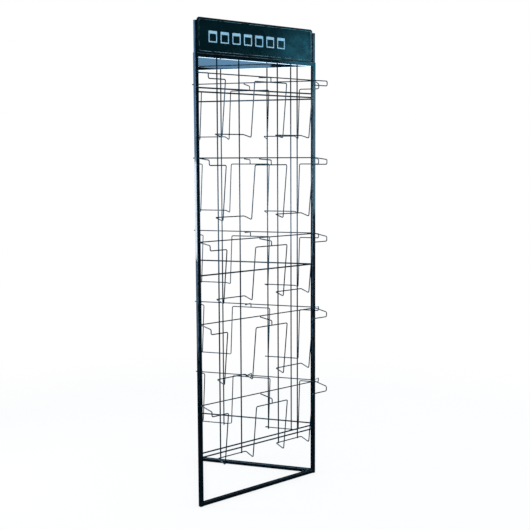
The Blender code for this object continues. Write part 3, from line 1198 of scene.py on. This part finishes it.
@dataclass
class HeaderCrown:
    """The plug-in header: stems, moulded sign panels and the row of calendar leaves on each panel.

    Attributes:
        finishes: The rack's finishes.
        posts: The post axes on the floor, by name.
        faces: The sides of the plan that carry a panel.
        stock: The stems' square tube.
        gap: The gap left between the pieces.
        post_top: The height of the posts' upper ends.
        insert: How deep the stems sit in the posts.
        stem_top: The height of the stems' upper ends.
        height: The panels' height.
        thickness: Their thickness.
        corner: The radius of a panel's corners.
        rim: The width of the rim round the sunk field.
        recess: The depth of the field.
        soft_edge: The radius of the moulding's edges.
        back_edge: The radius of the edges at its back.
        corner_steps: The facets of a panel's corner.
        edge_steps: The facets of a rounded edge or leaf corner.
        lip_steps: The facets of the edges of the sunk field.
        leaves: How many leaves a panel has.
        leaf_width: The width of a leaf.
        leaf_height: The height of a leaf.
        leaf_first: The first leaf's near side, from the first post's axis.
        leaf_pitch: The distance between leaves.
        leaf_middle: The height of the leaves' middle.
        leaf_line: The width of a leaf's outline.
        leaf_corner: The radius of a leaf's corners.
        leaf_band: The height of the band at a leaf's top.
        film: The thickness of the leaves' film.
    """

    finishes: Finishes
    posts: dict[str, Vector]
    faces: Sequence[Face]
    stock: SquareStock = SquareStock(width=0.012, wall=0.0012, edge=0.0012)
    gap: float = 0.0003
    post_top: float = 1.800
    insert: float = 0.080
    stem_top: float = 1.9225
    height: float = 0.136
    thickness: float = 0.007
    corner: float = 0.012
    rim: float = 0.009
    recess: float = 0.002
    soft_edge: float = 0.0012
    back_edge: float = 0.0032
    corner_steps: int = 8
    edge_steps: int = 4
    lip_steps: int = 3
    leaves: int = 7
    leaf_width: float = 0.040
    leaf_height: float = 0.044
    leaf_first: float = 0.060
    leaf_pitch: float = 0.057
    leaf_middle: float = 1.866
    leaf_line: float = 0.0045
    leaf_corner: float = 0.00315
    leaf_band: float = 0.011
    film: float = 0.0003

    def build(self) -> None:
        """Makes the stems, the panels and the leaves."""
        for name, axis in self.posts.items():
            bottom = self.post_top - self.insert
            stem = self.stock.draw(axis + UP * bottom, UP, self.stem_top - bottom, self.insert, 0.0)
            settle_flat(stem, f"{name}_header_stem_tube")
            dress(stem, self.finishes.frame, Body.HEADER, [f"header_stem_{name}"])
        for face in self.faces:
            self.build_panel(face)
            self.build_leaves(face)

    def round_side(self, panel: Shape, side: int, radius: float) -> None:
        """Rounds the outline of the panel in edit mode.

        Args:
            panel: The panel, still square to the Y axis.
            side: -1 for its front and 1 for its back.
            radius: The radius of the rounding.
        """
        select_parts(panel, "FACE", lambda part: part.normal.y * side > FACING)
        bpy.ops.mesh.region_to_loop()
        bpy.ops.mesh.bevel(offset=radius, segments=self.edge_steps, affect="EDGES")

    def sink_field(self, panel: Shape, width: float) -> None:
        """Sinks the field of the panel in edit mode and softens the lip round it.

        Args:
            panel: The panel, still square to the Y axis.
            width: The panel's width.
        """
        least = width * self.height / 2
        lip = Vector((width / 2 - self.rim, -self.thickness / 2, self.height / 2 - self.rim))
        slack = self.soft_edge / 10

        def on_lip(point: bmesh.types.BMVert) -> bool:
            """Says whether a corner lies on the edge of the sunk field."""
            place = point.co
            return abs(place.x) < lip.x + slack and abs(place.z) < lip.z + slack and place.y < lip.y + slack

        select_parts(panel, "FACE", lambda part: part.normal.y < -FACING and part.calc_area() > least)
        bpy.ops.mesh.inset(thickness=self.rim - self.soft_edge * 2, use_even_offset=True)
        bpy.ops.mesh.extrude_region_move(TRANSFORM_OT_translate={"value": (0.0, self.recess, 0.0)})
        bpy.ops.mesh.region_to_loop()
        bpy.ops.mesh.bevel(offset=self.soft_edge / 2, segments=self.lip_steps, affect="EDGES")
        select_parts(panel, "EDGE", lambda part: all(on_lip(point) for point in part.verts))
        bpy.ops.mesh.bevel(offset=self.soft_edge, segments=self.lip_steps, affect="EDGES")
        # The lip's bevels are marked for rubbing and a painted highlight line.
        mark_rubbed_highlit(panel)

    def round_corners(self, plate: Shape, thick: float, radius: float, steps: int) -> None:
        """Rounds the four corners of a plate and leaves it in edit mode.

        Args:
            plate: The plate, square to the Y axis.
            thick: Its thickness.
            radius: The radius of the corners.
            steps: The facets of a corner.
        """
        bpy.ops.object.mode_set(mode="EDIT")
        select_parts(plate, "EDGE", lambda part: abs(part.verts[0].co.y - part.verts[1].co.y) > thick / 2)
        bpy.ops.mesh.bevel(offset=radius, segments=steps, affect="EDGES")

    def build_panel(self, face: Face) -> None:
        """Moulds one sign panel: rounded corners, a soft rim and a sunk field.

        Args:
            face: The side that carries the panel.
        """
        width = face.width - 2 * (square_reach(self.stock.width, face.along) + self.gap)
        panel = add_block((width, self.thickness, self.height))
        self.round_corners(panel, self.thickness, self.corner, self.corner_steps)
        self.round_side(panel, -1, self.soft_edge * 2)
        self.round_side(panel, 1, self.back_edge)
        self.sink_field(panel, width)
        bpy.ops.object.mode_set(mode="OBJECT")
        panel.location = face.place(face.width / 2, 0.0, self.post_top + self.gap + self.height / 2)
        panel.rotation_euler.z = face.turn
        settle_flat(panel, f"{face.name}_sign_panel")
        panel.data.materials.append(self.finishes.sign)
        panel.data.materials.append(self.finishes.sign_back)
        for part in panel.data.polygons:
            part.material_index = 1 if part.normal.dot(face.outward) < -FACING else 0
        dress(panel, self.finishes.sign, Body.HEADER, [f"header_panel_{face.name}"])

    def leaf(self, face: Face) -> Shape:
        """Cuts one calendar leaf from thin film, at the origin and turned to its panel.

        Args:
            face: The side that carries the panel.

        Returns:
            An outlined leaf with a band along its top.
        """
        leaf = add_block((self.leaf_width, self.film, self.leaf_height))
        self.round_corners(leaf, self.film, self.leaf_corner, self.edge_steps)
        bpy.ops.object.mode_set(mode="OBJECT")
        wide = self.leaf_width - 2 * self.leaf_line
        tall = self.leaf_height - self.leaf_band - self.leaf_line
        window = add_block((wide, 4 * self.film, tall), UP * (self.leaf_line - self.leaf_band) / 2)
        cut_away(leaf, window)
        discard(window)
        leaf.rotation_euler.z = face.turn
        return settle(leaf, "leaf", FLAT_CREASE)

    def build_leaves(self, face: Face) -> None:
        """Sticks a row of leaves to a panel's field.

        Args:
            face: The side that carries the panel.
        """
        out = self.thickness / 2 - self.recess + self.film / 2
        start = self.leaf_first + self.leaf_width / 2
        middles = [start + number * self.leaf_pitch for number in range(self.leaves)]
        places = [face.place(along, out, self.leaf_middle) for along in middles]
        leaves = scatter(self.leaf(face), f"{face.name}_sign_leaves", places)
        dress(leaves, self.finishes.leaf, Body.HEADER)


@dataclass(frozen=True)
class PhotoCamera:
    """The camera at the photograph's viewing angle.

    Attributes:
        place: Its place.
        yaw: Its heading from +Y towards +X, in degrees.
        pitch: How far it looks down, in degrees.
        roll: Its roll, in degrees.
        lens: Its focal length, in millimetres.
        sensor: The width of its sensor, in millimetres.
        shift: The frame's shift along X and Y.
    """

    place: Vector
    yaw: float = 38.996
    pitch: float = 5.812
    roll: float = -0.202
    lens: float = 59.54
    sensor: float = 36.0
    shift: tuple[float, float] = (-0.01885, -0.0359)

    def make(self) -> None:
        """Adds the camera and makes it the scene's."""
        yaw, pitch, roll = (math.radians(angle) for angle in (self.yaw, self.pitch, self.roll))
        ahead = Vector((math.sin(yaw) * math.cos(pitch), math.cos(yaw) * math.cos(pitch), -math.sin(pitch)))
        level = Vector((math.cos(yaw), -math.sin(yaw), 0.0))
        above = level.cross(ahead)
        right = level * math.cos(roll) + above * math.sin(roll)
        over = above * math.cos(roll) - level * math.sin(roll)
        data = bpy.data.cameras.new("photo_camera")
        data.sensor_width = self.sensor
        data.lens = self.lens
        data.shift_x, data.shift_y = self.shift
        camera = bpy.data.objects.new("photo_camera", data)
        turn = Matrix((right, over, -ahead)).transposed().to_4x4()
        camera.matrix_world = Matrix.Translation(self.place) @ turn
        bpy.context.scene.collection.objects.link(camera)
        bpy.context.scene.camera = camera


@dataclass(frozen=True)
class LampStand:
    """A stand with soft boxes at several heights.

    Attributes:
        place: The stand's place on the floor.
        aim: The place on the floor that its lamps face.
        fall: How far a lamp's aim lies below the lamp.
    """

    place: tuple[float, float]
    aim: tuple[float, float] = (0.0, 0.0)
    fall: float = 0.0


@dataclass(frozen=True)
class SoftBox:
    """A soft studio lamp.

    Attributes:
        name: The lamp's name.
        stand: The stand that carries it.
        height: The height of its middle.
        size: Its width and height.
        power: Its power in watts.
        colour: Its colour.
        mirrored: Whether the gloss of the rack shows it.
        lights: Whether it lights the rack, beside showing in its gloss.
    """

    name: str
    stand: LampStand
    height: float
    size: tuple[float, float]
    power: float
    colour: Colour
    mirrored: bool = True
    lights: bool = True

    def make(self) -> None:
        """Adds the lamp, out of the camera's sight."""
        data = bpy.data.lights.new(self.name, "AREA")
        data.shape = "RECTANGLE"
        data.size, data.size_y = self.size
        data.energy = self.power
        data.color = self.colour
        place = Vector((*self.stand.place, self.height))
        aim = Vector((*self.stand.aim, self.height - self.stand.fall))
        lamp = bpy.data.objects.new(self.name, data)
        lamp.location = place
        lamp.rotation_mode = "QUATERNION"
        lamp.rotation_quaternion = (aim - place).to_track_quat("-Z", "Y")
        lamp.visible_camera = False
        lamp.visible_glossy = self.mirrored
        lamp.visible_diffuse = self.lights
        bpy.context.scene.collection.objects.link(lamp)


def studio_lamps() -> list[SoftBox]:
    """Lists the lamps.

    Returns:
        Three lamps behind the rack, two on its left, four on its right and one overhead.
    """
    back = LampStand((-1.329, 1.025), (-0.34, -0.22))
    left = LampStand((-2.80, -0.85))
    right = LampStand((2.67, -2.365), (0.1, -0.2), fall=0.08)
    edge = LampStand((2.419, -2.663), (-0.151, -0.498), fall=0.08)
    upper_edge = LampStand((2.374, -2.717), (-0.196, -0.552), fall=0.08)
    above = LampStand((0.0, -0.4), fall=3.3)
    side_blue = (0.36, 0.80, 1.0)
    sign_blue = (0.12, 0.68, 1.0)
    return [
        SoftBox("back_window", back, 1.10, (0.38, 0.56), 9.4, (0.80, 0.89, 1.0)),
        SoftBox("back_skylight", back, 1.82, (0.38, 0.84), 3.8, (0.30, 0.58, 1.0)),
        SoftBox("back_low", back, 0.54, (0.38, 0.52), 1.6, (0.34, 0.60, 1.0)),
        SoftBox("left_upper", left, 2.20, (1.90, 0.70), 42.0, (0.31, 0.63, 1.0), lights=False),
        SoftBox("left_box", left, 1.225, (1.90, 1.25), 100.0, (0.36, 0.66, 1.0), lights=False),
        SoftBox("right_box", right, 1.48, (1.20, 1.05), 17.5, side_blue, mirrored=False),
        SoftBox("right_strip", edge, 1.48, (0.30, 1.05), 4.4, side_blue, lights=False),
        SoftBox("right_upper", right, 2.18, (1.20, 0.36), 5.0, sign_blue, mirrored=False),
        SoftBox("right_upper_strip", upper_edge, 2.18, (0.30, 0.36), 1.25, sign_blue, lights=False),
        SoftBox("overhead", above, 4.2, (3.0, 3.0), 110.0, (1.0, 1.0, 1.0), mirrored=False),
    ]


@dataclass
class Studio:
    """The pale floor, the surround, the lamps and the dark flags.

    Attributes:
        camera: The camera.
        lamps: The soft boxes.
        floor_size: The side of the floor.
        floor_colour: Its colour.
        floor_white: How much plain white the camera sees mixed into the floor near the rack.
        fade: The distances from the rack between which the floor turns plain white.
        day: The surround's brightness for the rack.
        day_colour: Its colour for the rack.
        flag_radius: How far the dark flags stand from the rack.
        flag_sides: The facets of a flag.
        flag_height: Their height.
        flag_colour: What the gloss of the rack shows of them.
        band_colour: What it shows of the light band round the wall.
        back_colour: What it shows of the band behind the rack.
        band_foot: The heights between which the band comes up.
        band_head: The heights between which it ends.
        dark_heading: The level direction in which the wall stays dark.
        dark_sector: The cosines of the angles from that direction between which the band comes up.
        back_heading: The level direction in which the band is brightest.
        back_sector: The cosines of the angles from that direction between which it brightens.
        mat_height: How high the flag on the floor lies.
    """

    camera: PhotoCamera
    lamps: Sequence[SoftBox]
    floor_size: float = 80.0
    floor_colour: Colour = (0.86, 0.87, 0.88)
    floor_white: float = 0.82
    fade: tuple[float, float] = (0.9, 2.6)
    day: float = 0.55
    day_colour: Colour = (0.82, 0.92, 1.0)
    flag_radius: float = 7.0
    flag_sides: int = 48
    flag_height: float = 7.0
    flag_colour: Colour = (0.015, 0.045, 0.065)
    band_colour: Colour = (0.20, 0.38, 0.55)
    back_colour: Colour = (2.8, 3.9, 4.8)
    band_foot: tuple[float, float] = (0.0, 0.8)
    band_head: tuple[float, float] = (1.75, 2.2)
    dark_heading: tuple[float, float, float] = (0.616, -0.788, 0.0)
    dark_sector: tuple[float, float] = (0.95, 0.80)
    back_heading: tuple[float, float, float] = (0.629, 0.777, 0.0)
    back_sector: tuple[float, float] = (0.17, 0.64)
    mat_height: float = 0.0006

    def build(self) -> None:
        """Sets up the view, the floor, the surround, the lamps and the flags."""
        bpy.context.scene.view_settings.view_transform = "Standard"
        self.camera.make()
        self.build_floor()
        self.build_surround()
        for lamp in self.lamps:
            lamp.make()
        self.build_flags()

    def seen(self, tree: bpy.types.NodeTree) -> Socket:
        """Says whether a ray shows the background to the camera, straight or in gloss or glass.

        Args:
            tree: The node tree to add to.

        Returns:
            1 for such a ray, and 0 for any other.
        """
        path = tree.nodes.new("ShaderNodeLightPath")
        found = path.outputs["Is Camera Ray"]
        for name in ("Is Glossy Ray", "Is Transmission Ray"):
            either = tree.nodes.new("ShaderNodeMath")
            either.operation = "MAXIMUM"
            tree.links.new(found, either.inputs[0])
            tree.links.new(path.outputs[name], either.inputs[1])
            found = either.outputs["Value"]
        return found

    def build_floor(self) -> None:
        """Lays a pale floor that keeps a soft shadow by the rack and is plain white further away."""
        clear_selection()
        bpy.ops.mesh.primitive_plane_add(size=self.floor_size)
        floor = bpy.context.object
        floor.name = "studio_floor"
        sheet = NodeSheet("studio_floor")
        matt = sheet.add("ShaderNodeBsdfDiffuse", Color=(*self.floor_colour, 1.0))
        white = sheet.add("ShaderNodeEmission", Strength=1.0)
        away = sheet.add("ShaderNodeVectorMath", operation="LENGTH")
        sheet.join(sheet.place, away.inputs[0])
        fade = sheet.ramp(away.outputs["Value"], *self.fade, self.floor_white)
        mix = sheet.add("ShaderNodeMixShader")
        sheet.join(sheet.times(self.seen(sheet.tree), fade), mix.inputs["Fac"])
        sheet.join(matt.outputs["BSDF"], mix.inputs[1])
        sheet.join(white.outputs["Emission"], mix.inputs[2])
        floor.data.materials.append(sheet.show(mix.outputs["Shader"]))

    def build_surround(self) -> None:
        """Makes the surround white to the camera and an even soft light to the rack."""
        world = bpy.data.worlds.new("studio_surround")
        world.use_nodes = True
        bpy.context.scene.world = world
        tree = world.node_tree
        back = tree.nodes["Background"]
        back.inputs["Color"].default_value = (*self.day_colour, 1.0)
        back.inputs["Strength"].default_value = self.day
        white = tree.nodes.new("ShaderNodeBackground")
        white.inputs["Color"].default_value = (1.0, 1.0, 1.0, 1.0)
        white.inputs["Strength"].default_value = 1.0
        mix = tree.nodes.new("ShaderNodeMixShader")
        tree.links.new(self.seen(tree), mix.inputs["Fac"])
        tree.links.new(back.outputs["Background"], mix.inputs[1])
        tree.links.new(white.outputs["Background"], mix.inputs[2])
        tree.links.new(mix.outputs["Shader"], tree.nodes["World Output"].inputs["Surface"])

    def flag_finish(self, name: str, banded: bool) -> bpy.types.Material:
        """Makes a flag's dim glow.

        Args:
            name: The material's name.
            banded: Whether a light band runs round the flag.

        Returns:
            The material.
        """
        sheet = NodeSheet(name)
        glow = sheet.add("ShaderNodeEmission", Strength=1.0, Color=(*self.flag_colour, 1.0))
        if banded:
            height = sheet.height()
            level = sheet.add("ShaderNodeVectorMath", operation="MULTIPLY")
            level.inputs[1].default_value = (1.0, 1.0, 0.0)
            sheet.join(sheet.place, level.inputs[0])
            heading = sheet.add("ShaderNodeVectorMath", operation="NORMALIZE")
            sheet.join(level.outputs["Vector"], heading.inputs[0])
            shares = []
            for way, sector in ((self.dark_heading, self.dark_sector), (self.back_heading, self.back_sector)):
                facing = sheet.add("ShaderNodeVectorMath", operation="DOT_PRODUCT")
                facing.inputs[1].default_value = way
                sheet.join(heading.outputs["Vector"], facing.inputs[0])
                shares.append(sheet.ramp(facing.outputs["Value"], *sector))
            band = sheet.times(
                sheet.ramp(height, *self.band_foot), sheet.ramp(height, *self.band_head, 1.0, 0.0)
            )
            light = sheet.blend(shares[1], self.band_colour, self.back_colour)
            colour = sheet.blend(sheet.times(band, shares[0]), self.flag_colour, light)
            sheet.join(colour, glow.inputs["Color"])
        return sheet.show(glow.outputs["Emission"])

    def build_flags(self) -> None:
        """Stands dim flags round the rack and lays one on the floor, seen by its gloss alone."""
        clear_selection()
        bpy.ops.mesh.primitive_cylinder_add(
            vertices=self.flag_sides, radius=self.flag_radius, depth=self.flag_height, end_fill_type="NOTHING"
        )
        wall = bpy.context.object
        wall.location.z = self.flag_height / 2
        bpy.ops.object.transform_apply(location=True, rotation=False, scale=False)
        wall.name = "studio_flag_wall"
        bpy.ops.mesh.primitive_circle_add(
            vertices=self.flag_sides, radius=self.flag_radius, fill_type="NGON", location=UP * self.mat_height
        )
        mat = bpy.context.object
        mat.name = "studio_flag_mat"
        for flag, banded in ((wall, True), (mat, False)):
            flag.data.materials.append(self.flag_finish(flag.name, banded))
            flag.visible_camera = False
            flag.visible_diffuse = False
            flag.visible_transmission = False
            flag.visible_shadow = False


def main() -> None:
    """Builds the rack's pieces in order and sets up the studio."""
    logging.basicConfig(level=logging.INFO, format="%(name)s: %(message)s")
    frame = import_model()
    finishes = Finishes.make()
    posts = {name: post_axis(f"post_{name}") for name in ("left", "right", "back")}
    front = Face("front", posts["left"], posts["right"])
    side = Face("side", posts["right"], posts["back"])
    opened = Face("open", posts["back"], posts["left"])

    TubeFrame(finishes, posts, (front, side, opened)).build()
    WirePanel(
        finishes,
        front,
        rods={
            "top_upper": 1.6685,
            "top_lower": 1.6527,
            "middle": 0.9370,
            "bottom_upper": 0.2185,
            "bottom_lower": 0.2013,
        },
        centres=(0.148, 0.452),
    ).build()
    WirePanel(
        finishes,
        side,
        rods={"top": 1.6469, "middle": 0.9370, "bottom": 0.2257},
        centres=(0.1557, 0.4770),
        overhangs=(0.002, 0.024),
    ).build()
    HeaderCrown(finishes, posts, (front, side)).build()
    for name in posts:
        glide = frame["nodes"][f"foot_glide_{name}"]
        glide.data.materials.clear()
        glide.data.materials.append(finishes.glide)
        LOG.info("%s: finished", glide.name)

    Studio(PhotoCamera(posts["left"] + FROM_LEFT_POST), studio_lamps()).build()
    clear_selection()


if __name__ == "__main__":
    main()
